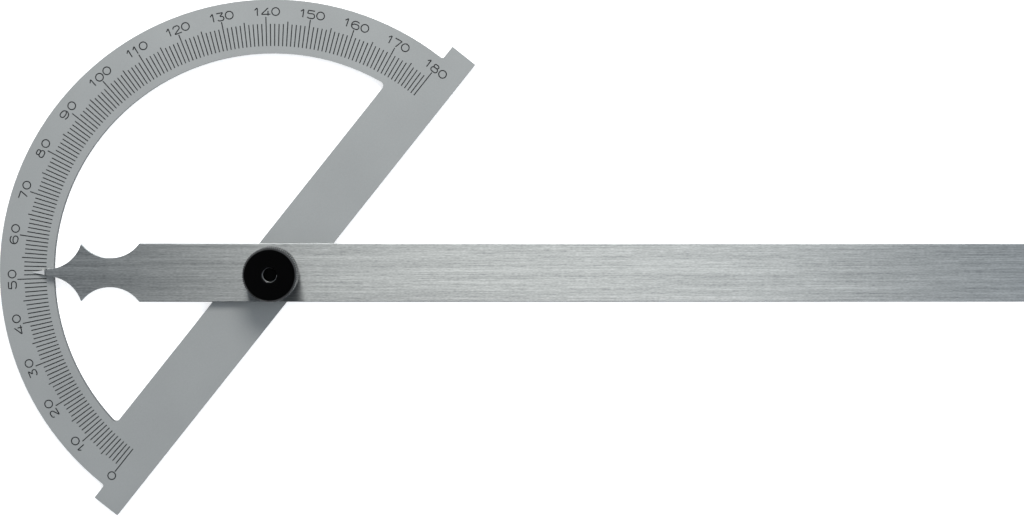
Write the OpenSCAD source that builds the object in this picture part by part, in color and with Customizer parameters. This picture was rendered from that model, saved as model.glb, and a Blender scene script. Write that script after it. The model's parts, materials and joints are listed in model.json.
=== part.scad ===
// Angle gauge: a graduated half circle with a base bar, and a straight blade that swings on it.
// The blade turns about the Z axis, its long end points along +X and its pointer along -X.
// The underside of the dial lies on Z = 0, and all lengths are in millimetres.

/* [Dial] */
// Angle that the gauge shows, in degrees
reading = 51.6; // [0:0.1:180]
// Outside diameter of the graduated arc
arc_d = 150; // [130:1:200]
// Width of the arc, measured towards its centre
band_w = 14.8; // [12:0.1:20]
// Width of the base bar, which is centred on the pivot
bar_w = 16; // [12:0.5:20]
// Length by which the bar's square ends stand out past the arc
ear_l = 4.3; // [2:0.1:10]
// Thickness of the dial
dial_t = 1.5; // [1.2:0.1:3]
// Radius in the two corners of the window
window_r = 1.2; // [0.5:0.1:4]
// Radius in the notch between the arc and each square end
notch_r = 0.6; // [0.3:0.1:1.5]

/* [Graduation] */
// Distance from the window's arc to the inner ends of the lines
line_margin = 2; // [1:0.1:2.5]
// Length of the line for each degree
line_1_l = 6.1; // [4:0.1:7]
// Length of the line for every fifth degree
line_5_l = 6.8; // [4:0.1:8]
// Length of the line for every tenth degree
line_10_l = 8; // [5:0.1:8.5]
// Width of the lines
line_w = 0.2; // [0.15:0.01:0.3]
// Depth to which the lines are cut
line_depth = 0.1; // [0.05:0.01:0.2]

/* [Blade] */
// Width of the blade
blade_w = 16; // [14:0.5:20]
// Thickness of the blade
blade_t = 1.5; // [1:0.1:3]
// Length from the pivot to the square end
blade_reach = 207.8; // [150:0.1:400]
// Radius on the two corners of the square end
end_r = 0.5; // [0.2:0.1:3]
// Bevel along the two long edges, on both sides
edge_bevel = 0.2; // [0.1:0.05:0.4]
// Length by which the pointer's tip reaches over the arc
tip_overlap = 5.8; // [2:0.1:10]
// Length of the tip, which is ground to a ramp
tip_l = 3.4; // [2:0.1:6]
// Width of the tip where it leaves the neck
tip_w = 1.3; // [0.8:0.1:1.6]
// Height of the tip where it leaves the neck
tip_rise = 0.8; // [0.4:0.1:0.9]
// Thickness that is left at the tip's point
tip_edge = 0.1; // [0.1:0.05:0.3]
// Radius of the four hollows that shape the pointer
hollow_r = 10; // [8:0.5:12]
// Width of the waist between the two rear hollows
waist_w = 7.9; // [5:0.1:12]
// Width of the neck at its narrowest place, between the two front hollows
neck_w = 1.8; // [1.6:0.1:4]
// Distance from the neck's end to its narrowest place
neck_l = 0.7; // [0:0.1:1]
// Width of the flat on each horn. Below zero a front and a rear hollow overlap, and the horn is sharp
horn_w = -0.2; // [-0.3:0.1:1]
// Radius of the neck's rounded end, at its foot
nose_r = 1.9; // [1.6:0.1:3]
// Length by which the rounded end slopes back from its foot to the blade's upper face
nose_slope = 0.6; // [0.2:0.1:0.6]

/* [Pivot] */
// Diameter of the stud's head
head_d = 10; // [8:0.5:12]
// Thickness of the stud's head, which is let into the dial's underside
head_t = 0.7; // [0.5:0.1:0.9]
// Diameter of the shoulder on which the blade turns
shoulder_d = 6; // [5.5:0.5:7]
// Diameter of the stud's threaded shank
shank_d = 4; // [3:0.5:5]
// Width across the two flats along the shank
flats_w = 3.2; // [2.4:0.1:3.4]
// Depth of the stud's end below the top of the nut
end_drop = 2; // [0.5:0.1:3]
// Radial clearance where one piece turns on another
running_gap = 0.05; // [0.02:0.01:0.1]
// Radial clearance round the stud where it is pressed into the dial
press_gap = 0.01; // [0.01:0.01:0.05]

/* [Washers] */
// Diameter of the keyed washer
keyed_d = 13; // [11:0.5:14]
// Thickness of the keyed washer
keyed_t = 0.8; // [0.5:0.1:1.5]
// Diameter of the cupped spring washer
spring_d = 9; // [8:0.5:10]
// Thickness of the spring washer's metal
spring_t = 0.35; // [0.2:0.05:0.5]
// Height of the spring washer's cup when it is pressed down
spring_cup = 0.25; // [0.1:0.05:0.5]

/* [Nut] */
// Diameter of the nut over its knurl
nut_d = 15; // [14:0.5:20]
// Height of the nut
nut_h = 5.7; // [4.5:0.1:9]
// Number of ridges in the knurl
knurl_count = 80; // [40:2:90]
// Depth of the knurl's grooves
knurl_depth = 0.3; // [0.1:0.05:0.5]
// Bevel on the nut's top and bottom edges
nut_bevel = 0.6; // [0.3:0.1:1]
// Height of the plain ring groove round the middle of the knurl
ring_h = 0.6; // [0.3:0.1:1.5]
// Depth of the ring groove
ring_depth = 0.45; // [0.35:0.05:0.8]
// Bevel at the mouth of the nut's hole
mouth_bevel = 0.1; // [0.1:0.1:0.8]

/* [Hidden] */
$fn = 128;
// Number of steps in the dial's two large arcs
arc_fn = 256;
// Length by which a cutting shape runs past the surface that it cuts
past = 1;
arc_r = arc_d / 2;
window_arc_r = arc_r - band_w;
blade_z = dial_t;
keyed_z = blade_z + blade_t;
nut_z = keyed_z + keyed_t;
spring_h = spring_t + spring_cup;
// The shoulder ends just under the blade's top face, so that the nut can press the blade down
shoulder_drop = 0.1;
shank_end_z = nut_z + nut_h - end_drop;
// Bevel on the shank's end
shank_bevel = 0.4;
bore_r = shank_d / 2 + running_gap;
// Places along the pointer, counted from the pivot towards -X
tip_reach = window_arc_r + tip_overlap;
neck_reach = tip_reach - tip_l;
narrow_reach = neck_reach - neck_l;
neck_hollow_y = hollow_r + neck_w / 2;
waist_hollow_y = hollow_r + waist_w / 2;
horn_reach = narrow_reach - hollow_run(neck_hollow_y);
waist_reach = horn_reach - horn_w - hollow_run(waist_hollow_y);

// Distance along the blade from a hollow's centre to the point where it meets the blade's edge
function hollow_run(centre_y) = sqrt(pow(hollow_r, 2) - pow(centre_y - blade_w / 2, 2));

// Outline of a straight knurl, as ridges and grooves in turn
function knurl_outline(r) = [
    for (i = [0 : 2 * knurl_count - 1])
        let (angle = i * 180 / knurl_count, reach = r - (i % 2) * knurl_depth)
            [reach * cos(angle), reach * sin(angle)]
];

// Dial
module half_disc(r) {
    intersection() {
        circle(r, $fn = arc_fn);
        translate([-r - past, 0]) square([2 * (r + past), r + past]);
    }
}

// The window is the space between the arc and the bar, with a round corner at each end
module window_outline() {
    inner_edge = bar_w / 2;
    corner_y = inner_edge + window_r;
    corner_x = sqrt(pow(window_arc_r - window_r, 2) - pow(corner_y, 2));
    corner_far = (window_arc_r + past) / (window_arc_r - window_r);
    difference() {
        intersection() {
            circle(window_arc_r, $fn = arc_fn);
            translate([-arc_r, inner_edge]) square([arc_d, arc_r]);
        }
        for (side = [-1, 1])
            polygon([
                [side * corner_x, corner_y],
                [side * corner_x, inner_edge - past],
                [side * (window_arc_r + past), inner_edge - past],
                [side * corner_x * corner_far, corner_y * corner_far]
            ]);
    }
    for (side = [-1, 1])
        translate([side * corner_x, corner_y]) circle(window_r);
}

// A web that rounds the notch between the arc and the square end of the bar
module notch_web() {
    centre_x = sqrt(pow(arc_r + notch_r, 2) - pow(notch_r, 2));
    on_arc = arc_r / (arc_r + notch_r);
    difference() {
        polygon([
            [arc_r - past, -past],
            [centre_x, -past],
            [centre_x, notch_r],
            [centre_x * on_arc, notch_r * on_arc],
            [arc_r - past, notch_r * on_arc]
        ]);
        translate([centre_x, notch_r]) circle(notch_r);
    }
}

module dial_outline() {
    difference() {
        union() {
            half_disc(arc_r);
            translate([-arc_r - ear_l, -bar_w / 2]) square([2 * (arc_r + ear_l), bar_w / 2]);
            notch_web();
            mirror([1, 0]) notch_web();
        }
        window_outline();
        circle(shoulder_d / 2 + press_gap);
    }
}

// Length of the line at n degrees
function line_length(n) = n % 10 == 0 ? line_10_l : n % 5 == 0 ? line_5_l : line_1_l;

// One line for each degree of the half circle, cut into the dial's upper face
module graduation() {
    for (n = [0 : 180])
        rotate([0, 0, n])
            translate([window_arc_r + line_margin, -line_w / 2, dial_t - line_depth])
                cube([line_length(n), line_w, line_depth + past]);
}

module dial_plate() {
    color("darkgray")
        rotate([0, 0, reading])
            difference() {
                linear_extrude(dial_t) dial_outline();
                translate([0, 0, -past])
                    cylinder(h = past + head_t, r = head_d / 2 + running_gap);
                graduation();
            }
}

// Blade
module blade_outline() {
    difference() {
        union() {
            translate([-neck_reach, -blade_w / 2])
                square([neck_reach + blade_reach - end_r, blade_w]);
            translate([0, -blade_w / 2 + end_r])
                square([blade_reach, blade_w - 2 * end_r]);
            for (side = [-1, 1])
                translate([blade_reach - end_r, side * (blade_w / 2 - end_r)]) circle(end_r);
        }
        for (side = [-1, 1]) {
            translate([-narrow_reach, side * neck_hollow_y]) circle(hollow_r);
            translate([-waist_reach, side * waist_hollow_y]) circle(hollow_r);
        }
        circle(shoulder_d / 2 + running_gap);
    }
}

// Cross-section of the blade, with its four long edges bevelled
module blade_section() {
    half = blade_w / 2;
    polygon([
        [-half + edge_bevel, 0],
        [half - edge_bevel, 0],
        [half, edge_bevel],
        [half, blade_t - edge_bevel],
        [half - edge_bevel, blade_t],
        [-half + edge_bevel, blade_t],
        [-half, blade_t - edge_bevel],
        [-half, edge_bevel]
    ]);
}

// What is cut away so that the neck's end is round, and slopes like a cone
module nose_corners() {
    slope = nose_slope / blade_t;
    difference() {
        translate([-neck_reach - past, -neck_w, -past])
            cube([past + nose_r, 2 * neck_w, blade_t + 2 * past]);
        translate([-neck_reach + nose_r, 0, -past])
            cylinder(
                h = blade_t + 2 * past,
                r1 = nose_r + slope * past,
                r2 = nose_r - slope * (blade_t + past)
            );
    }
}

// The tip is a wedge in plan and a ramp from the side, and its root lies inside the neck
module pointer_tip() {
    root_x = -neck_reach + nose_r;
    intersection() {
        linear_extrude(blade_t)
            polygon([
                [-tip_reach, -tip_edge / 2],
                [-neck_reach, -tip_w / 2],
                [root_x, -tip_w / 2],
                [root_x, tip_w / 2],
                [-neck_reach, tip_w / 2],
                [-tip_reach, tip_edge / 2]
            ]);
        rotate([90, 0, 0])
            linear_extrude(2 * tip_w, center = true)
                polygon([
                    [-tip_reach - past, 0],
                    [root_x + past, 0],
                    [root_x + past, tip_rise],
                    [-neck_reach, tip_rise],
                    [-tip_reach, tip_edge],
                    [-tip_reach - past, tip_edge]
                ]);
    }
}

module blade() {
    color("silver")
        translate([0, 0, blade_z]) {
            difference() {
                intersection() {
                    linear_extrude(blade_t) blade_outline();
                    translate([-neck_reach - past, 0, 0])
                        rotate([90, 0, 90])
                            linear_extrude(neck_reach + blade_reach + 2 * past) blade_section();
                }
                nose_corners();
            }
            pointer_tip();
        }
}

// Stud, with its head under the dial, a shoulder for the blade and a shank with two flats
module shank(h, r) {
    intersection() {
        union() {
            cylinder(h = h - shank_bevel, r = r);
            translate([0, 0, h - shank_bevel])
                cylinder(h = shank_bevel, r1 = r, r2 = r - shank_bevel);
        }
        translate([-r - past, -flats_w / 2, -past])
            cube([2 * (r + past), flats_w, h + 2 * past]);
    }
}

module pivot_stud() {
    shoulder_top = keyed_z - shoulder_drop;
    color("dimgray") {
        cylinder(h = head_t, d = head_d);
        translate([0, 0, head_t])
            cylinder(h = shoulder_top - head_t, d = shoulder_d);
        translate([0, 0, shoulder_top])
            shank(shank_end_z - shoulder_top, shank_d / 2);
    }
}

// Keyed washer, whose flats keep it from turning with the blade or the nut
module keyed_washer() {
    color("lightgray")
        translate([0, 0, keyed_z])
            difference() {
                cylinder(h = keyed_t, d = keyed_d);
                intersection() {
                    translate([0, 0, -past]) cylinder(h = keyed_t + 2 * past, r = bore_r);
                    translate([-shank_d, -flats_w / 2 - running_gap, -past])
                        cube([2 * shank_d, flats_w + 2 * running_gap, keyed_t + 2 * past]);
                }
            }
}

// Spring washer, a cupped ring with its hollow side down, in the recess under the nut
module spring_washer() {
    inner_r = bore_r + running_gap;
    outer_r = spring_d / 2;
    color("slategray")
        translate([0, 0, nut_z])
            rotate_extrude()
                polygon([
                    [outer_r, 0],
                    [outer_r, spring_t],
                    [inner_r, spring_h],
                    [inner_r, spring_cup]
                ]);
}

// Nut, with a straight knurl in two bands, a recess for the spring washer and a hole right through
// The profile runs a little past the knurl's ridges, so it only cuts the bevels and the ring groove
module nut_profile() {
    r = nut_d / 2;
    outside = 0.2;
    ring_z = (nut_h - ring_h) / 2;
    polygon([
        [0, 0],
        [r - nut_bevel, 0],
        [r + outside, nut_bevel + outside],
        [r + outside, ring_z],
        [r - ring_depth, ring_z],
        [r - ring_depth, ring_z + ring_h],
        [r + outside, ring_z + ring_h],
        [r + outside, nut_h - nut_bevel - outside],
        [r - nut_bevel, nut_h],
        [0, nut_h]
    ]);
}

module lock_nut() {
    color("black")
        translate([0, 0, nut_z])
            difference() {
                intersection() {
                    linear_extrude(nut_h) polygon(knurl_outline(nut_d / 2));
                    rotate_extrude() nut_profile();
                }
                translate([0, 0, -past])
                    cylinder(h = nut_h + 2 * past, r = bore_r);
                translate([0, 0, -past])
                    cylinder(h = past + spring_h, r = spring_d / 2 + 2 * running_gap);
                translate([0, 0, nut_h - mouth_bevel])
                    cylinder(h = 2 * mouth_bevel, r1 = bore_r, r2 = bore_r + 2 * mouth_bevel);
            }
}

dial_plate();
pivot_stud();
blade();
keyed_washer();
spring_washer();
lock_nut();
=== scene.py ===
"""Angle gauge: a matt chrome dial with blackened graduation, a brushed steel blade and a black
knurled nut on a steel stud. Lengths are in metres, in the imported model's own frame: the pivot
stands on the origin, the blade points along +X and its pointer along -X."""

import json
import math

import bpy
from bpy.props import FloatProperty, FloatVectorProperty, IntProperty, PointerProperty
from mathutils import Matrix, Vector


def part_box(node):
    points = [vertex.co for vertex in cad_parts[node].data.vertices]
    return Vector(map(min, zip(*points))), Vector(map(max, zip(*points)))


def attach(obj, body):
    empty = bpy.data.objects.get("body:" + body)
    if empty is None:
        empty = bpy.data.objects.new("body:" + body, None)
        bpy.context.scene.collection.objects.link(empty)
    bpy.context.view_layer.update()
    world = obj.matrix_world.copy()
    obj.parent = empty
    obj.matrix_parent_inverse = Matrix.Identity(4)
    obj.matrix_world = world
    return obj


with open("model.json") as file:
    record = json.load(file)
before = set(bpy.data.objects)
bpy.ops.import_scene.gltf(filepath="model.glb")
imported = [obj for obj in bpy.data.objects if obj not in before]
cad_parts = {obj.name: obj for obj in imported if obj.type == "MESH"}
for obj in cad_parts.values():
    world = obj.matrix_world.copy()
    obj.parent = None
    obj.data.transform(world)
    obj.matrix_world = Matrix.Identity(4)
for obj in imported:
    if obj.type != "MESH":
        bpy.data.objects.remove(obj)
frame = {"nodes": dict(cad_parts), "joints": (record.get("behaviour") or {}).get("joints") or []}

bl_info = {
    "name": "Angle Gauge",
    "version": (1, 0, 0),
    "blender": (4, 5, 0),
    "location": "View3D > Sidebar > Gauge",
    "description": "Dresses the packed angle gauge with its finishes, numerals and studio stage",
    "category": "Object",
}

MM = 0.001


def linear(hex_colour):
    """An sRGB hex colour as linear red, green, blue and alpha, by the standard's own curve."""
    channels = [int(hex_colour[i : i + 2], 16) / 255 for i in (0, 2, 4)]
    curve = [c / 12.92 if c <= 0.04045 else ((c + 0.055) / 1.055) ** 2.4 for c in channels]
    return (*curve, 1.0)


def length_prop(label, text, millimetres):
    """A length that a user may change, given in millimetres."""
    return FloatProperty(
        name=label, description=text, default=millimetres * MM, min=0, unit="LENGTH"
    )


def number_prop(label, text, value):
    """A plain number that a user may change, such as a strength, a share or a roughness."""
    return FloatProperty(name=label, description=text, default=value, soft_min=0)


def range_prop(label, text, low, high):
    """Two plain numbers that a user may change, between which a pattern runs."""
    return FloatVectorProperty(
        name=label, description=text, default=(low, high), size=2, soft_min=0
    )


def colour_prop(label, text, hex_colour):
    """A colour that a user may change, given as sRGB hex."""
    return FloatVectorProperty(
        name=label,
        description=text,
        default=linear(hex_colour),
        size=4,
        min=0,
        max=1,
        subtype="COLOR",
    )


def place_prop(label, text, millimetres):
    """A place in the gauge's frame that a user may change, given in millimetres."""
    return FloatVectorProperty(
        name=label,
        description=text,
        default=[x * MM for x in millimetres],
        size=3,
        subtype="TRANSLATION",
    )


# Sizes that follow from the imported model
DIAL_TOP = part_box("dial_plate")[1].z
STUD_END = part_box("pivot_stud")[1].z
NUT_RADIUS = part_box("lock_nut")[1].x
POINTER_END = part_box("blade")[0].x
SWING = next(j for j in frame["joints"] if j["name"] == "blade_swing")
# The blade can swing by the whole reading until its pointer meets the 0 line
READING = math.radians(SWING["range_deg"][1])
# The scale's last line, and the step from one numeral to the next, in degrees
SCALE_DEGREES = 180
NUMERAL_STEP = 10


class DialSettings(bpy.types.PropertyGroup):
    """Finish, graduation and numerals of the dial."""

    chrome_light: colour_prop("Chrome, light", "Lighter tone of the matt chrome", "B8BAB9")
    chrome_dark: colour_prop("Chrome, dark", "Darker tone of the matt chrome", "AEB0AF")
    chrome_roughness: range_prop("Chrome roughness", "Roughness across the chrome's grain", 0.8, 0.9)
    cloud_size: length_prop("Cloud size", "Size of the clouds of light and dark in the chrome", 18)
    grain_size: length_prop("Grain size", "Size at which the chrome's blasted grain is drawn", 0.2)
    # Painted shade: a darker colour on the dial's walls and edges
    punched_edge: colour_prop("Punched edge", "Dull steel of the edges, as punched", "6E7172")
    enamel: colour_prop("Enamel", "Dark filling of the engraved lines and numerals", "1A1C1D")
    enamel_shade: range_prop("Enamel shade", "Shares of the enamel's colour in its spots", 0.7, 1.3)
    spot_size: length_prop("Spot size", "Size of the lighter and darker spots in the enamel", 0.6)
    line_start: length_prop("Line start", "Distance from the pivot to the lines' inner ends", 62.2)
    line_1: length_prop("Degree line", "Length of the line for each degree", 6.1)
    line_5: length_prop("Fifth line", "Length of the line for every fifth degree", 6.8)
    line_10: length_prop("Tenth line", "Length of the line for every tenth degree", 8.0)
    line_width: length_prop("Line width", "Width of the filled lines", 0.29)
    fill_depth: length_prop("Fill depth", "Depth of the filling below the dial's face", 0.08)
    fill_crown: length_prop("Fill crown", "Height by which the filling stands proud", 0.01)
    digit_height: length_prop("Digit height", "Height of the numerals along the pen's middle", 2.12)
    digit_start: length_prop("Digit start", "Distance from the pivot to the numerals' foot", 70.55)
    wide_gap: length_prop("Wide gap", "Gap between the digits of a number below 100", 0.68)
    close_gap: length_prop("Close gap", "Gap between the digits of a number from 100 on", 0.24)
    narrow_gap: length_prop("Gap after a 1", "Gap after a 1, which is a narrow digit", 0.9)
    leading_blank: length_prop("Leading blank", "Blank before a 1 that leads a number", 0.8)
    pen_width: length_prop("Pen width", "Width of the numerals' strokes", 0.31)


class BladeSettings(bpy.types.PropertyGroup):
    """Finish of the blade."""

    steel_light: colour_prop("Steel, light", "Lighter tone of the brushed steel", "C7CBCB")
    steel_dark: colour_prop("Steel, dark", "Darker tone of the brushed steel", "95999A")
    steel_roughness: range_prop("Steel roughness", "Roughness across the brush marks", 0.5, 0.6)
    streak_length: length_prop("Streak length", "Length of the long brush marks", 36)
    streak_width: length_prop("Streak width", "Width of the finest brush marks", 0.2)
    # The tip's light colour is partly its ground steel and partly a painted highlight
    tip_steel: colour_prop("Tip steel", "Freshly ground steel of the pointer's tip", "E6E4DF")
    tip_roughness: number_prop("Tip roughness", "Roughness of the ground tip", 0.3)
    tip_length: length_prop("Tip length", "Length of the ground tip", 3.4)
    # Painted shade: the neck's sloped end is painted dark
    nose_steel: colour_prop("Nose steel", "Dark steel of the neck's sloped end", "34383A")
    nose_length: length_prop("Nose length", "Length of the neck's sloped end", 0.7)


class PivotSettings(bpy.types.PropertyGroup):
    """Finish of the stud, the washers and the nut, and the thread in the nut's mouth."""

    washer_steel: colour_prop("Washer steel", "Tumbled steel of the keyed washer", "AEB0B0")
    washer_roughness: number_prop("Washer roughness", "Roughness of the tumbled steel", 0.45)
    spring_steel: colour_prop("Spring steel", "Tempered steel of the spring washer", "5B5E66")
    spring_roughness: number_prop("Spring roughness", "Roughness of the tempered steel", 0.3)
    rubbing_pitch: length_prop("Rubbing pitch", "Distance between the washers' rubbed rings", 0.5)
    nut_black: colour_prop("Nut black", "Black finish of the nut and the stud", "010101")
    # Grey on the knurl's crests and the bevel: partly wear, partly painted highlight
    nut_worn: colour_prop("Worn metal", "Metal that shows where the black has worn off", "A8AAAA")
    wear_depth: length_prop("Wear depth", "Depth to which the nut's knurl has worn", 0.09)
    bevel_width: length_prop("Bevel width", "Width of the nut's bevel, which is a little worn", 0.6)
    bevel_wear: number_prop("Bevel wear", "Share of the black that the bevel has lost", 0.05)
    turning_pitch: length_prop("Turning pitch", "Distance between the lathe's marks", 0.25)
    thread_pitch: length_prop("Thread pitch", "Rise of the nut's thread in one turn", 0.7)
    thread_radius: length_prop("Thread radius", "Radius to the middle of the thread's ridge", 1.98)
    thread_size: length_prop("Thread size", "Radius of the ridge's three-cornered section", 0.13)
    # The thread's light grey is partly steel worn bare and partly a painted glint
    thread_steel: colour_prop("Thread steel", "Metal of the thread, worn bare by the stud", "9A9C9C")
    thread_roughness: number_prop("Thread roughness", "Roughness of the worn thread", 0.35)
    thread_turns: IntProperty(
        name="Thread turns", description="Turns of the thread above the stud", default=2, min=1
    )


class StageSettings(bpy.types.PropertyGroup):
    """Camera, lamp, room and floor."""

    camera_place: place_prop("Camera place", "Where the camera stands", (61.27, 46.77, 447.72))
    camera_turn: FloatVectorProperty(
        name="Camera turn",
        description="How far the camera is turned from looking straight down",
        default=[math.radians(x) for x in (-0.931, -0.698, 0.075)],
        size=3,
        subtype="EULER",
    )
    camera_lens: FloatProperty(
        name="Camera lens", description="Focal length", default=56.995, min=1, unit="CAMERA"
    )
    camera_shift: FloatVectorProperty(
        name="Camera shift",
        description="How far the lens is shifted, as shares of the picture's width",
        default=(-0.0038, -0.1261),
        size=2,
    )
    camera_near: length_prop("Camera near", "Nearest distance that the camera shows", 10)
    key_place: place_prop("Key place", "Where the soft lamp beyond the blade stands", (103, 740, 520))
    key_aim: place_prop("Key aim", "What that lamp shines at", (60, 0, 0))
    key_width: length_prop("Key width", "Width of that lamp", 500)
    key_depth: length_prop("Key depth", "Depth of that lamp", 300)
    key_power: FloatProperty(
        name="Key power", description="Power of that lamp", default=8.7, min=0, unit="POWER"
    )
    key_tint: colour_prop("Key tint", "Colour of that lamp, a little warmer than the room's", "FFFDFA")
    sky: number_prop("Sky", "Strength of the light from the walls", 1.04)
    sky_tint: colour_prop("Sky tint", "Colour of the light from the walls", "EFF6FF")
    sky_lean: FloatVectorProperty(
        name="Sky lean",
        description="Share by which the walls are lighter towards +X, +Y and up",
        default=(0.35, 0.5, 0.0),
        size=3,
    )
    zenith: number_prop("Zenith", "Strength of the light straight overhead", 0.02)
    dark_stretch: number_prop("Dark stretch", "Share to which a direction across the blade counts", 0.25)
    dark_shift: number_prop("Dark shift", "Sine of the angle by which the dark leans to -X", 0.03)
    dark_start: number_prop("Dark start", "Sine of the angle from overhead where light begins", 0.1)
    dark_end: number_prop("Dark end", "Sine of the angle from overhead where light is full", 0.5)
    floor: colour_prop("Floor", "Colour of the floor", "F2F2F2")
    floor_glow: number_prop("Floor glow", "Light of its own where the floor is seen", 0.65)
    floor_size: length_prop("Floor size", "Width of the floor", 6000)
    floor_gap: length_prop("Floor gap", "Clearance between the floor and the dial", 0.02)


# Helpers
def deselect():
    """Leaves nothing selected, because an operator acts on all that is."""
    if bpy.context.object and bpy.context.object.mode != "OBJECT":
        bpy.ops.object.mode_set(mode="OBJECT")
    bpy.ops.object.select_all(action="DESELECT")


def choose(*objects):
    """Selects these objects alone, and makes the first one active."""
    deselect()
    for obj in objects:
        obj.select_set(True)
    bpy.context.view_layer.objects.active = objects[0]


def copy_of(obj):
    """A copy with its own mesh, which is left selected and active."""
    choose(obj)
    bpy.ops.object.duplicate(linked=False)
    return bpy.context.object


def drop(obj):
    """Removes a master that has been copied."""
    choose(obj)
    bpy.ops.object.delete()


def settled(name, piece):
    """A piece under its own name, with its place in its mesh."""
    choose(piece)
    bpy.ops.object.transform_apply(location=True, rotation=True, scale=True)
    piece.name = name
    piece.data.name = name
    return piece


def joined(name, objects):
    """One piece made of several."""
    choose(*objects)
    bpy.ops.object.join()
    return settled(name, bpy.context.object)


def finish_piece(piece, body, material):
    """Gives a new piece its material and its body."""
    piece.data.materials.clear()
    piece.data.materials.append(material)
    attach(piece, body)


def dress(node, material):
    """Gives a carried-over CAD node its material."""
    mesh = frame["nodes"][node].data
    mesh.materials.clear()
    mesh.materials.append(material)


def dial_turn(degrees):
    """Angle in radians of a line of the scale, seen from the pivot. The 0 line is furthest round."""
    return math.pi + READING - math.radians(degrees)


def direction(angle):
    """Direction in the dial's plane at this angle from the X axis, in radians."""
    return Vector((math.cos(angle), math.sin(angle), 0))


def left_of(ahead):
    """Direction a quarter turn to the left of another, in the dial's plane."""
    return Vector((-ahead.y, ahead.x, 0))


# Materials
def add_node(tree, kind, settings=None, sockets=None):
    """Adds a node, sets its properties, and gives its sockets their values or links."""
    node = tree.nodes.new(kind)
    for name, value in (settings or {}).items():
        setattr(node, name, value)
    for name, value in (sockets or {}).items():
        if isinstance(value, bpy.types.NodeSocket):
            tree.links.new(value, node.inputs[name])
        else:
            node.inputs[name].default_value = value
    return node


def new_material(name, **sockets):
    """A material, its tree and its shader, whose sockets are named with underscores."""
    material = bpy.data.materials.new(name)
    material.use_nodes = True
    tree = material.node_tree
    shader = tree.nodes["Principled BSDF"]
    for socket, value in sockets.items():
        shader.inputs[socket.replace("_", " ")].default_value = value
    return material, tree, shader


# Height of the fine marks that a finish's bump stands for
MARK_HEIGHT = 0.01 * MM
# A face counts as flat if its normal's Z is over this
FLAT_NORMAL = 0.9


def steep_faces(tree):
    """1 on walls and slopes, and 0 on faces that lie flat."""
    normal = add_node(tree, "ShaderNodeNewGeometry").outputs["True Normal"]
    upright = add_node(tree, "ShaderNodeSeparateXYZ", sockets={"Vector": normal}).outputs["Z"]
    flatness = add_node(tree, "ShaderNodeMath", {"operation": "ABSOLUTE"}, {0: upright}).outputs[0]
    return add_node(
        tree, "ShaderNodeMath", {"operation": "LESS_THAN"}, {0: flatness, 1: FLAT_NORMAL}
    ).outputs[0]


def matt_chrome(settings):
    """Matt chrome on steel, blasted before it was plated: even, soft and faintly cloudy. Its walls and
    edges are painted darker, as painted shade along the outlines."""
    material, tree, shader = new_material("matt_chrome", Metallic=1.0)
    coords = add_node(tree, "ShaderNodeTexCoord").outputs["Object"]
    # The plating is never quite even, which gives slow clouds of light and dark
    clouds = add_node(
        tree,
        "ShaderNodeTexNoise",
        sockets={"Vector": coords, "Scale": 1 / settings.cloud_size, "Detail": 2.0},
    )
    # The blasted grain is about 0.05 mm, and is drawn coarser so that it shows
    grain = add_node(
        tree,
        "ShaderNodeTexNoise",
        sockets={"Vector": coords, "Scale": 1 / settings.grain_size, "Detail": 2.0},
    )
    tones = add_node(
        tree,
        "ShaderNodeMix",
        {"data_type": "RGBA"},
        {0: clouds.outputs["Fac"], 6: settings.chrome_dark, 7: settings.chrome_light},
    )
    # Steep walls take a darker colour, as painted shade along the dial's edges
    all_tones = add_node(
        tree,
        "ShaderNodeMix",
        {"data_type": "RGBA"},
        {0: steep_faces(tree), 6: tones.outputs[2], 7: settings.punched_edge},
    )
    smoothest, roughest = settings.chrome_roughness
    rough = add_node(
        tree,
        "ShaderNodeMapRange",
        sockets={"Value": grain.outputs["Fac"], "To Min": smoothest, "To Max": roughest},
    )
    bump = add_node(
        tree,
        "ShaderNodeBump",
        sockets={"Height": grain.outputs["Fac"], "Strength": 0.25, "Distance": MARK_HEIGHT},
    )
    tree.links.new(all_tones.outputs[2], shader.inputs["Base Color"])
    tree.links.new(rough.outputs["Result"], shader.inputs["Roughness"])
    tree.links.new(bump.outputs["Normal"], shader.inputs["Normal"])
    return material


# Layers of brush marks: their length as a share of the streak length, their width in multiples of the
# finest, and their weight
BRUSH_LAYERS = ((1, 1, 0.25), (1 / 4, 1, 0.2), (1 / 16, 1, 0.2), (1 / 45, 1, 0.2), (2, 8, 0.15))
# Heights of the added layers at which the steel is at its darkest and at its lightest
DARK_MARK = 0.38
LIGHT_MARK = 0.62


def brush_marks(tree, coords, length, width):
    """Noises that are drawn out along the X axis, as the marks of a brush are, added by weight."""
    total = 0.0
    for layer, (share, multiple, weight) in enumerate(BRUSH_LAYERS):
        across = 1 / (width * multiple)
        place = add_node(
            tree,
            "ShaderNodeMapping",
            sockets={"Vector": coords, "Scale": (1 / (length * share), across, across)},
        )
        noise = add_node(
            tree,
            "ShaderNodeTexNoise",
            {"noise_dimensions": "4D"},
            {"Vector": place.outputs["Vector"], "W": layer, "Scale": 1.0, "Detail": 0.0},
        )
        total = add_node(
            tree,
            "ShaderNodeMath",
            {"operation": "MULTIPLY_ADD"},
            {0: noise.outputs["Fac"], 1: weight, 2: total},
        ).outputs[0]
    return total


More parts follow.
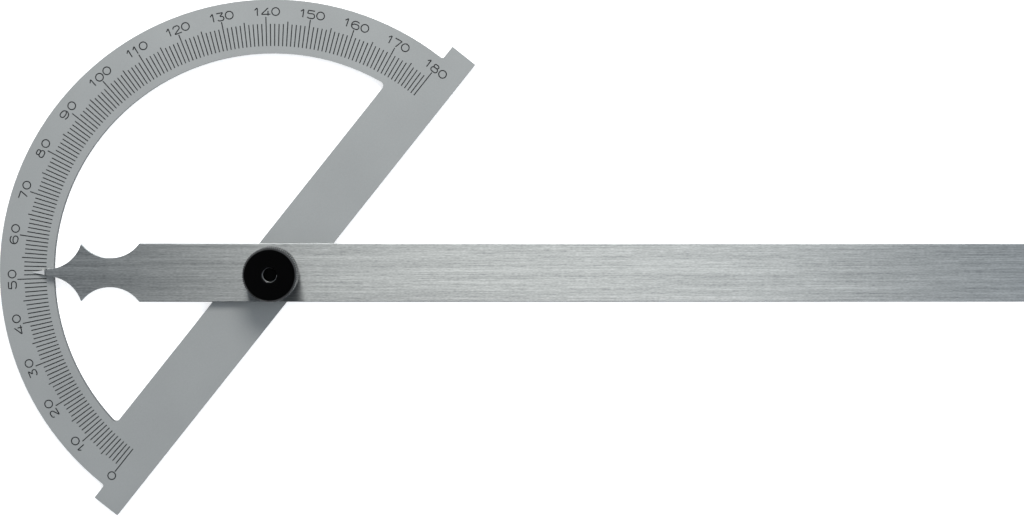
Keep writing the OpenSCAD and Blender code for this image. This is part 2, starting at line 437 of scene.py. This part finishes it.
def brushed_steel(settings):
    """Ground steel, brushed along its length: fine streaks that spread light across them. The pointer's
    tip has been ground last, to an even face, and is painted light, partly as its ground steel and
    partly as a painted highlight; the neck's slope above it is painted dark, as painted shade."""
    material, tree, shader = new_material("brushed_steel", Metallic=1.0, Anisotropic=0.98)
    coords = add_node(tree, "ShaderNodeTexCoord").outputs["Object"]
    # The brush's marks are about 0.1 mm wide, and are drawn wider so that they show
    marks = brush_marks(tree, coords, settings.streak_length, settings.streak_width)
    spread = add_node(
        tree,
        "ShaderNodeMapRange",
        sockets={"Value": marks, "From Min": DARK_MARK, "From Max": LIGHT_MARK},
    )
    tones = add_node(
        tree,
        "ShaderNodeMix",
        {"data_type": "RGBA"},
        {0: spread.outputs["Result"], 6: settings.steel_dark, 7: settings.steel_light},
    )
    smoothest, roughest = settings.steel_roughness
    rough = add_node(
        tree, "ShaderNodeMapRange", sockets={"Value": marks, "To Min": smoothest, "To Max": roughest}
    )
    bump = add_node(
        tree, "ShaderNodeBump", sockets={"Height": marks, "Strength": 0.3, "Distance": MARK_HEIGHT}
    )
    along = add_node(tree, "ShaderNodeSeparateXYZ", sockets={"Vector": coords}).outputs["X"]
    tip_root = POINTER_END + settings.tip_length
    tip = add_node(
        tree, "ShaderNodeMath", {"operation": "LESS_THAN"}, {0: along, 1: tip_root}
    ).outputs[0]
    nose = add_node(
        tree,
        "ShaderNodeMath",
        {"operation": "LESS_THAN"},
        {0: along, 1: tip_root + settings.nose_length},
    ).outputs[0]
    # Only the slope is painted dark, as painted shade, and not the blade's face beside it
    painted_shade_slope = add_node(
        tree, "ShaderNodeMath", {"operation": "MULTIPLY"}, {0: nose, 1: steep_faces(tree)}
    )
    nose_shade_tones = add_node(
        tree,
        "ShaderNodeMix",
        {"data_type": "RGBA"},
        {0: painted_shade_slope.outputs[0], 6: tones.outputs[2], 7: settings.nose_steel},
    )
    # The tip is painted light, partly as ground steel and partly as a painted highlight
    all_tones = add_node(
        tree,
        "ShaderNodeMix",
        {"data_type": "RGBA"},
        {0: tip, 6: nose_shade_tones.outputs[2], 7: settings.tip_steel},
    )
    all_rough = add_node(
        tree,
        "ShaderNodeMix",
        {"data_type": "FLOAT"},
        {0: tip, 2: rough.outputs["Result"], 3: settings.tip_roughness},
    )
    across = add_node(tree, "ShaderNodeTangent", {"direction_type": "RADIAL", "axis": "X"})
    tree.links.new(all_tones.outputs[2], shader.inputs["Base Color"])
    tree.links.new(all_rough.outputs[0], shader.inputs["Roughness"])
    tree.links.new(bump.outputs["Normal"], shader.inputs["Normal"])
    tree.links.new(across.outputs["Tangent"], shader.inputs["Tangent"])
    return material


def turned_rings(tree, pitch):
    """The fine rings that a lathe leaves round the pivot, as a height."""
    coords = add_node(tree, "ShaderNodeTexCoord").outputs["Object"]
    # A ring wave repeats every pi / 10 units at a scale of 1
    return add_node(
        tree,
        "ShaderNodeTexWave",
        {"wave_type": "RINGS", "rings_direction": "Z"},
        {"Vector": coords, "Scale": math.pi / 10 / pitch, "Distortion": 1.0, "Detail": 2.0},
    )


# Shares of its colour to which turned steel darkens and lightens from ring to ring
RING_SHADE = (0.88, 1.08)


def turned_steel(name, colour, roughness, pitch):
    """Steel as it comes from the lathe or the tumbler: a soft gleam, with faint rings."""
    material, tree, shader = new_material(name, Metallic=1.0, Roughness=roughness)
    rings = turned_rings(tree, pitch)
    darkest, lightest = RING_SHADE
    shade = add_node(
        tree,
        "ShaderNodeMapRange",
        sockets={"Value": rings.outputs["Fac"], "To Min": darkest, "To Max": lightest},
    )
    tones = add_node(
        tree,
        "ShaderNodeHueSaturation",
        sockets={"Color": colour, "Value": shade.outputs["Result"]},
    )
    bump = add_node(
        tree,
        "ShaderNodeBump",
        sockets={"Height": rings.outputs["Fac"], "Strength": 0.2, "Distance": MARK_HEIGHT},
    )
    tree.links.new(tones.outputs["Color"], shader.inputs["Base Color"])
    tree.links.new(bump.outputs["Normal"], shader.inputs["Normal"])
    return material


# Share of the worn depth, from a crest downwards, that is painted fully grey, as bare metal and as a
# painted highlight
BARE_AND_SHEEN_SHARE = 1 / 3
# Share of the bevel's width over which its wear and painted highlight set in
BEVEL_FADE = 0.1


def blackened_steel(settings):
    """Turned steel, chemically blackened and oiled: deep black, and glossy along the lathe's rings.
    It is made once, for the stud and the nut."""
    if "blackened_steel" in bpy.data.materials:
        return bpy.data.materials["blackened_steel"]
    material, tree, shader = new_material("blackened_steel", Roughness=0.22, Specular_IOR_Level=0.2)
    rings = turned_rings(tree, settings.turning_pitch)
    coords = add_node(tree, "ShaderNodeTexCoord").outputs["Object"]
    flat = add_node(
        tree, "ShaderNodeVectorMath", {"operation": "MULTIPLY"}, {0: coords, 1: (1.0, 1.0, 0.0)}
    )
    radius = add_node(
        tree, "ShaderNodeVectorMath", {"operation": "LENGTH"}, {0: flat.outputs["Vector"]}
    ).outputs["Value"]
    # The knurl's crests and, a little, the bevel are painted grey: partly metal handled bare, partly
    # painted highlights on the rims
    crests = add_node(
        tree,
        "ShaderNodeMapRange",
        sockets={
            "Value": radius,
            "From Min": NUT_RADIUS - settings.wear_depth,
            "From Max": NUT_RADIUS - BARE_AND_SHEEN_SHARE * settings.wear_depth,
        },
    )
    bevel = add_node(
        tree,
        "ShaderNodeMapRange",
        sockets={
            "Value": radius,
            "From Min": NUT_RADIUS - settings.bevel_width,
            "From Max": NUT_RADIUS - (1 - BEVEL_FADE) * settings.bevel_width,
            "To Max": settings.bevel_wear,
        },
    )
    worn_and_sheen = add_node(
        tree,
        "ShaderNodeMath",
        {"operation": "MAXIMUM"},
        {0: crests.outputs["Result"], 1: bevel.outputs["Result"]},
    )
    tones = add_node(
        tree,
        "ShaderNodeMix",
        {"data_type": "RGBA"},
        {0: worn_and_sheen.outputs[0], 6: settings.nut_black, 7: settings.nut_worn},
    )
    bump = add_node(
        tree,
        "ShaderNodeBump",
        sockets={"Height": rings.outputs["Fac"], "Strength": 0.15, "Distance": MARK_HEIGHT},
    )
    tree.links.new(tones.outputs[2], shader.inputs["Base Color"])
    tree.links.new(worn_and_sheen.outputs[0], shader.inputs["Metallic"])
    tree.links.new(bump.outputs["Normal"], shader.inputs["Normal"])
    return material


def engraving_enamel(settings):
    """Stoving enamel rubbed into the engraving: near black, matt and slightly uneven. It is made
    once, for the lines and the numerals."""
    if "engraving_enamel" in bpy.data.materials:
        return bpy.data.materials["engraving_enamel"]
    material, tree, shader = new_material(
        "engraving_enamel", Roughness=0.6, Specular_IOR_Level=0.3
    )
    coords = add_node(tree, "ShaderNodeTexCoord").outputs["Object"]
    spots = add_node(
        tree,
        "ShaderNodeTexNoise",
        sockets={"Vector": coords, "Scale": 1 / settings.spot_size, "Detail": 2.0},
    )
    darkest, lightest = settings.enamel_shade
    shade = add_node(
        tree,
        "ShaderNodeMapRange",
        sockets={"Value": spots.outputs["Fac"], "To Min": darkest, "To Max": lightest},
    )
    tones = add_node(
        tree,
        "ShaderNodeHueSaturation",
        sockets={"Color": settings.enamel, "Value": shade.outputs["Result"]},
    )
    tree.links.new(tones.outputs["Color"], shader.inputs["Base Color"])
    return material


# Shapes

# Pen strokes of the numerals, on a square one digit high. Each stroke is its start, the direction in
# degrees in which the pen sets off, and its moves: a length straight on, or a radius and a turn in
# degrees, which is to the left if positive. The nine is the six turned upside down.
SIX_MOVES = [(0.5, 40), 0.12, (0.5, 180), 0.22, (0.31, 180), 0.24, (0.45, 60)]
DIGITS = {
    "0": [(1.0, 0.5, 90, [(0.5, 360)])],
    "1": [(0.0, 0.72, 45, [0.37, (0.05, -135), 0.95])],
    "2": [(0.03, 0.72, 90, [(0.28, -90), 0.26, (0.28, -148), 0.74, (0.05, 148), 0.85])],
    "3": [
        (0.02, 1.0, 0, [0.75, (0.05, -140), 0.42, (0.05, 140), 0.13]),
        (0.6, 0.56, 0, [(0.28, -180), 0.24, (0.32, -60)]),
    ],
    "4": [
        (0.88, 1.0, -138, [1.1, (0.05, 138), 1.06]),
        (0.85, 0.6, -90, [0.6]),
    ],
    "5": [
        (0.96, 1.0, 180, [0.8, (0.05, 81), 0.29, (0.05, 99), 0.57]),
        (0.69, 0.62, 0, [(0.31, -180), 0.33, (0.35, -55)]),
    ],
    "6": [(0.94, 0.88, 140, SIX_MOVES)],
    "7": [(0.0, 1.0, 0, [0.87, (0.05, -114), 1.03])],
    "8": [
        (0.33, 1.0, 0, [0.25, (0.21, -180), 0.25, (0.21, -180)]),
        (0.28, 0.58, 0, [0.35, (0.29, -180), 0.35, (0.29, -180)]),
    ],
    "9": [(0.09, 0.12, -40, SIX_MOVES)],
}
# Largest turn in degrees between two points of a round stroke
ARC_STEP = 18
# Share of a line's width, on each side, that slopes up to the filling's crown
CROWN_SLOPE = 1 / 4


def draw_stroke(height, x, y, heading, moves):
    """Draws one stroke in edit mode, as a row of edges that a pen has left."""
    place = Vector((x, y, 0)) * height
    bpy.ops.mesh.select_all(action="DESELECT")
    # A square that is merged at its centre gives the pen its first point
    bpy.ops.mesh.primitive_plane_add(size=height, location=place)
    bpy.ops.mesh.merge(type="CENTER")
    for move in moves:
        ahead = direction(math.radians(heading))
        if isinstance(move, float):
            step = ahead * move * height
            bpy.ops.mesh.extrude_vertices_move(TRANSFORM_OT_translate={"value": step})
            place = place + step
        else:
            radius, turn = move
            aside = math.copysign(radius * height, turn)
            centre = place + left_of(ahead) * aside
            # Spin takes a positive angle as a turn to the right
            bpy.ops.mesh.spin(
                steps=math.ceil(abs(turn) / ARC_STEP),
                angle=-math.radians(turn),
                center=centre,
                axis=(0, 0, 1),
            )
            heading += turn
            place = centre - left_of(direction(math.radians(heading))) * aside


def make_digit(settings, digit):
    """One numeral as filled strokes, drawn from the origin up and to the right."""
    deselect()
    bpy.ops.mesh.primitive_plane_add(size=settings.digit_height)
    bpy.ops.object.mode_set(mode="EDIT")
    bpy.ops.mesh.delete(type="VERT")
    for stroke in DIGITS[digit]:
        draw_stroke(settings.digit_height, *stroke)
    # A closed stroke's two ends become one point
    bpy.ops.mesh.select_all(action="SELECT")
    bpy.ops.mesh.remove_doubles(threshold=settings.pen_width / 10)
    bpy.ops.object.mode_set(mode="OBJECT")
    bpy.ops.object.convert(target="CURVE")
    pen = bpy.context.object.data
    pen.bevel_depth = settings.pen_width / 2
    pen.bevel_resolution = 1
    pen.use_fill_caps = True
    bpy.ops.object.convert(target="MESH")
    numeral = bpy.context.object
    numeral.name = "digit_" + digit
    # The round stroke is pressed flat, so that it stands proud by its crown alone
    numeral.scale.z = settings.fill_crown / (settings.pen_width / 2)
    bpy.ops.object.transform_apply(location=True, rotation=True, scale=True)
    return numeral


def write_number(settings, masters, degree):
    """Sets one number at its line, upright to someone who looks in from outside the arc."""
    text = str(degree)
    gap = settings.close_gap if degree >= 100 else settings.wide_gap
    left = settings.leading_blank if text[0] == "1" else 0
    places = []
    for digit in text:
        places.append(left)
        left += masters[digit].dimensions.x + (settings.narrow_gap if digit == "1" else gap)
    width = places[-1] + masters[text[-1]].dimensions.x
    turn = dial_turn(degree)
    outward = direction(turn)
    onward = -left_of(outward)
    digits = []
    for digit, place in zip(text, places):
        numeral = copy_of(masters[digit])
        inset = min(corner[0] for corner in numeral.bound_box)
        numeral.rotation_euler.z = turn - math.pi / 2
        numeral.location = outward * settings.digit_start + onward * (place - inset - width / 2)
        numeral.location.z = DIAL_TOP
        digits.append(numeral)
    return digits


def make_line(settings, length):
    """One filled line of the scale, lying along the X axis at its distance from the pivot."""
    deselect()
    middle = settings.line_start + length / 2
    bpy.ops.mesh.primitive_plane_add(size=1, location=(middle, 0, DIAL_TOP))
    line = bpy.context.object
    line.scale = (length, settings.line_width, 1)
    bpy.ops.object.transform_apply(location=True, rotation=True, scale=True)
    bpy.ops.object.mode_set(mode="EDIT")
    bpy.ops.mesh.inset(thickness=settings.line_width * CROWN_SLOPE, depth=settings.fill_crown)
    bpy.ops.object.mode_set(mode="OBJECT")
    # An offset of -1 puts the thickness below the face
    wall = line.modifiers.new("Depth", "SOLIDIFY")
    wall.thickness = settings.fill_depth
    wall.offset = -1
    bpy.ops.object.modifier_apply(modifier=wall.name)
    return line


# Steps, one operator for each
class GAUGE_OT_dial(bpy.types.Operator):
    """Gives the dial its matt chrome."""

    bl_idname = "gauge.dial"
    bl_label = "Dial"

    def execute(self, context):
        dress("dial_plate", matt_chrome(context.scene.gauge_dial))
        return {"FINISHED"}


class GAUGE_OT_lines(bpy.types.Operator):
    """Fills the line for each degree with dark enamel."""

    bl_idname = "gauge.lines"
    bl_label = "Degree lines"

    def execute(self, context):
        settings = context.scene.gauge_dial
        lengths = {10: settings.line_10, 5: settings.line_5, 1: settings.line_1}
        masters = {every: make_line(settings, length) for every, length in lengths.items()}
        lines = []
        for degree in range(SCALE_DEGREES + 1):
            # The masters run from the tenth line down, so the first that fits is the longest
            every = next(step for step in masters if degree % step == 0)
            line = copy_of(masters[every])
            line.rotation_euler.z = dial_turn(degree)
            lines.append(line)
        for master in masters.values():
            drop(master)
        piece = joined("degree_lines", lines)
        finish_piece(piece, "dial", engraving_enamel(settings))
        return {"FINISHED"}


class GAUGE_OT_numerals(bpy.types.Operator):
    """Writes the numerals round the arc, one number for every tenth degree."""

    bl_idname = "gauge.numerals"
    bl_label = "Numerals"

    def execute(self, context):
        settings = context.scene.gauge_dial
        masters = {digit: make_digit(settings, digit) for digit in DIGITS}
        digits = []
        for degree in range(0, SCALE_DEGREES + 1, NUMERAL_STEP):
            digits += write_number(settings, masters, degree)
        for master in masters.values():
            drop(master)
        piece = joined("numerals", digits)
        finish_piece(piece, "dial", engraving_enamel(settings))
        return {"FINISHED"}


class GAUGE_OT_blade(bpy.types.Operator):
    """Gives the blade its brushed steel."""

    bl_idname = "gauge.blade"
    bl_label = "Blade"

    def execute(self, context):
        dress("blade", brushed_steel(context.scene.gauge_blade))
        return {"FINISHED"}


class GAUGE_OT_pivot(bpy.types.Operator):
    """Gives the stud and the two washers their finishes."""

    bl_idname = "gauge.pivot"
    bl_label = "Stud and washers"

    def execute(self, context):
        settings = context.scene.gauge_pivot
        pitch = settings.rubbing_pitch
        tumbled = turned_steel(
            "tumbled_steel", settings.washer_steel, settings.washer_roughness, pitch
        )
        tempered = turned_steel(
            "tempered_steel", settings.spring_steel, settings.spring_roughness, pitch
        )
        dress("pivot_stud", blackened_steel(settings))
        dress("keyed_washer", tumbled)
        dress("spring_washer", tempered)
        return {"FINISHED"}


# Faces round one turn of the nut's thread
THREAD_STEPS = 48


class GAUGE_OT_nut(bpy.types.Operator):
    """Blackens the nut, and cuts the thread that shows in its mouth above the end of the stud."""

    bl_idname = "gauge.nut"
    bl_label = "Nut"

    def execute(self, context):
        settings = context.scene.gauge_pivot
        dress("lock_nut", blackened_steel(settings))
        deselect()
        # The ridge starts just above the stud's end
        start = STUD_END + settings.thread_size
        bpy.ops.mesh.primitive_circle_add(
            vertices=3,
            radius=settings.thread_size,
            location=(settings.thread_radius, 0, start),
            rotation=(math.pi / 2, 0, 0),
        )
        ridge = settled("nut_thread", bpy.context.object)
        screw = ridge.modifiers.new("Thread", "SCREW")
        screw.axis = "Z"
        screw.screw_offset = settings.thread_pitch
        screw.iterations = settings.thread_turns
        screw.steps = THREAD_STEPS
        screw.render_steps = THREAD_STEPS
        screw.use_smooth_shade = True
        bpy.ops.object.modifier_apply(modifier=screw.name)
        # The thread's two open ends are closed
        bpy.ops.object.mode_set(mode="EDIT")
        bpy.ops.mesh.select_all(action="SELECT")
        bpy.ops.mesh.fill_holes(sides=3)
        bpy.ops.object.mode_set(mode="OBJECT")
        # The thread is painted light grey, partly as steel worn bare and partly as a painted glint
        worn_and_sheen = turned_steel(
            "worn_thread_and_glint", settings.thread_steel, settings.thread_roughness, settings.turning_pitch
        )
        finish_piece(ridge, "nut", worn_and_sheen)
        return {"FINISHED"}


# Stage
WHITE = (1.0, 1.0, 1.0, 1.0)


def key_lamp(settings):
    """A soft box beyond the blade, which is itself out of the picture."""
    deselect()
    aim = Vector(settings.key_aim) - Vector(settings.key_place)
    turn = aim.to_track_quat("-Z", "Y").to_euler()
    bpy.ops.object.light_add(type="AREA", location=settings.key_place, rotation=turn)
    lamp = bpy.context.object
    lamp.name = "key_lamp"
    lamp.data.shape = "RECTANGLE"
    lamp.data.size = settings.key_width
    lamp.data.size_y = settings.key_depth
    lamp.data.energy = settings.key_power
    lamp.data.color = settings.key_tint[:3]
    lamp.visible_camera = False


def white_paper(settings):
    """Seamless white paper. Seen directly or in a reflection it has a little light of its own, so
    that it is as white as the photograph's ground and still takes the gauge's shadow."""
    material, tree, shader = new_material(
        "white_paper", Base_Color=settings.floor, Roughness=0.9, Emission_Color=WHITE
    )
    path = add_node(tree, "ShaderNodeLightPath")
    seen = add_node(
        tree,
        "ShaderNodeMath",
        {"operation": "MAXIMUM"},
        {0: path.outputs["Is Camera Ray"], 1: path.outputs["Is Glossy Ray"]},
    )
    either = add_node(
        tree,
        "ShaderNodeMath",
        {"operation": "MAXIMUM"},
        {0: seen.outputs["Value"], 1: path.outputs["Is Transmission Ray"]},
    )
    glow = add_node(
        tree,
        "ShaderNodeMath",
        {"operation": "MULTIPLY"},
        {0: either.outputs["Value"], 1: settings.floor_glow},
    )
    tree.links.new(glow.outputs["Value"], shader.inputs["Emission Strength"])
    return material


def light_all_round(settings):
    """A white room that is dark overhead, in an oval along the Y axis, and lighter towards +X and
    +Y. The nut's face and the brushed blade mirror the dark oval, and the dial takes the walls'
    light. Where the camera sees the room itself, it is plain white."""
    world = bpy.data.worlds.new("white_room")
    bpy.context.scene.world = world
    world.use_nodes = True
    tree = world.node_tree
    background = tree.nodes["Background"]
    outward = add_node(tree, "ShaderNodeTexCoord").outputs["Generated"]
    oval = add_node(
        tree,
        "ShaderNodeVectorMath",
        {"operation": "MULTIPLY_ADD"},
        {
            0: outward,
            1: (1.0, settings.dark_stretch, 0.0),
            2: (settings.dark_shift, 0.0, 0.0),
        },
    )
    aside = add_node(
        tree, "ShaderNodeVectorMath", {"operation": "LENGTH"}, {0: oval.outputs["Vector"]}
    )
    walls = add_node(
        tree,
        "ShaderNodeMapRange",
        {"interpolation_type": "SMOOTHSTEP"},
        {
            "Value": aside.outputs["Value"],
            "From Min": settings.dark_start,
            "From Max": settings.dark_end,
            "To Min": settings.zenith,
            "To Max": settings.sky,
        },
    )
    lean = add_node(
        tree,
        "ShaderNodeVectorMath",
        {"operation": "DOT_PRODUCT"},
        {0: outward, 1: settings.sky_lean},
    ).outputs["Value"]
    leaning_walls = add_node(
        tree,
        "ShaderNodeMath",
        {"operation": "MULTIPLY_ADD"},
        {0: walls.outputs["Result"], 1: lean, 2: walls.outputs["Result"]},
    )
    path = add_node(tree, "ShaderNodeLightPath")
    strength = add_node(
        tree,
        "ShaderNodeMix",
        {"data_type": "FLOAT"},
        {0: path.outputs["Is Camera Ray"], 2: leaning_walls.outputs[0], 3: 1.0},
    )
    tint = add_node(
        tree,
        "ShaderNodeMix",
        {"data_type": "RGBA"},
        {0: path.outputs["Is Camera Ray"], 6: settings.sky_tint, 7: WHITE},
    )
    tree.links.new(tint.outputs[2], background.inputs["Color"])
    tree.links.new(strength.outputs[0], background.inputs["Strength"])


class GAUGE_OT_stage(bpy.types.Operator):
    """Sets the white floor, the white room, the soft lamp and the camera."""

    bl_idname = "gauge.stage"
    bl_label = "Stage"

    def execute(self, context):
        settings = context.scene.gauge_stage
        deselect()
        bpy.ops.mesh.primitive_plane_add(
            size=settings.floor_size, location=(0, 0, -settings.floor_gap)
        )
        floor = bpy.context.object
        floor.name = "floor"
        floor.data.materials.append(white_paper(settings))
        light_all_round(settings)
        key_lamp(settings)
        bpy.ops.object.camera_add(location=settings.camera_place, rotation=settings.camera_turn)
        camera = bpy.context.object
        camera.data.lens = settings.camera_lens
        camera.data.shift_x, camera.data.shift_y = settings.camera_shift
        camera.data.clip_start = settings.camera_near
        context.scene.camera = camera
        context.scene.view_settings.view_transform = "Standard"
        return {"FINISHED"}


# Sidebar and registration
class GAUGE_PT_sidebar(bpy.types.Panel):
    """Lists what dresses the gauge, in the order in which it is done."""

    bl_label = "Angle Gauge"
    bl_space_type = "VIEW_3D"
    bl_region_type = "UI"
    bl_category = "Gauge"

    def draw(self, context):
        for name, group in SETTINGS.items():
            box = self.layout.box()
            box.label(text=group.__name__)
            settings = getattr(context.scene, name)
            for prop in group.__annotations__:
                box.prop(settings, prop)
        for step in STEPS:
            self.layout.operator(step.bl_idname)


SETTINGS = {
    "gauge_dial": DialSettings,
    "gauge_blade": BladeSettings,
    "gauge_pivot": PivotSettings,
    "gauge_stage": StageSettings,
}
STEPS = (
    GAUGE_OT_stage,
    GAUGE_OT_dial,
    GAUGE_OT_lines,
    GAUGE_OT_numerals,
    GAUGE_OT_blade,
    GAUGE_OT_pivot,
    GAUGE_OT_nut,
)
CLASSES = (*SETTINGS.values(), *STEPS, GAUGE_PT_sidebar)


def register():
    for item in CLASSES:
        bpy.utils.register_class(item)
    for name, group in SETTINGS.items():
        setattr(bpy.types.Scene, name, PointerProperty(type=group))


def unregister():
    for name in SETTINGS:
        delattr(bpy.types.Scene, name)
    for item in reversed(CLASSES):
        bpy.utils.unregister_class(item)


def main():
    """Dresses the gauge step by step."""
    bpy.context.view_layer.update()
    register()
    bpy.ops.gauge.stage()
    bpy.ops.gauge.dial()
    bpy.ops.gauge.lines()
    bpy.ops.gauge.numerals()
    bpy.ops.gauge.blade()
    bpy.ops.gauge.pivot()
    bpy.ops.gauge.nut()


if __name__ == "__main__":
    main()
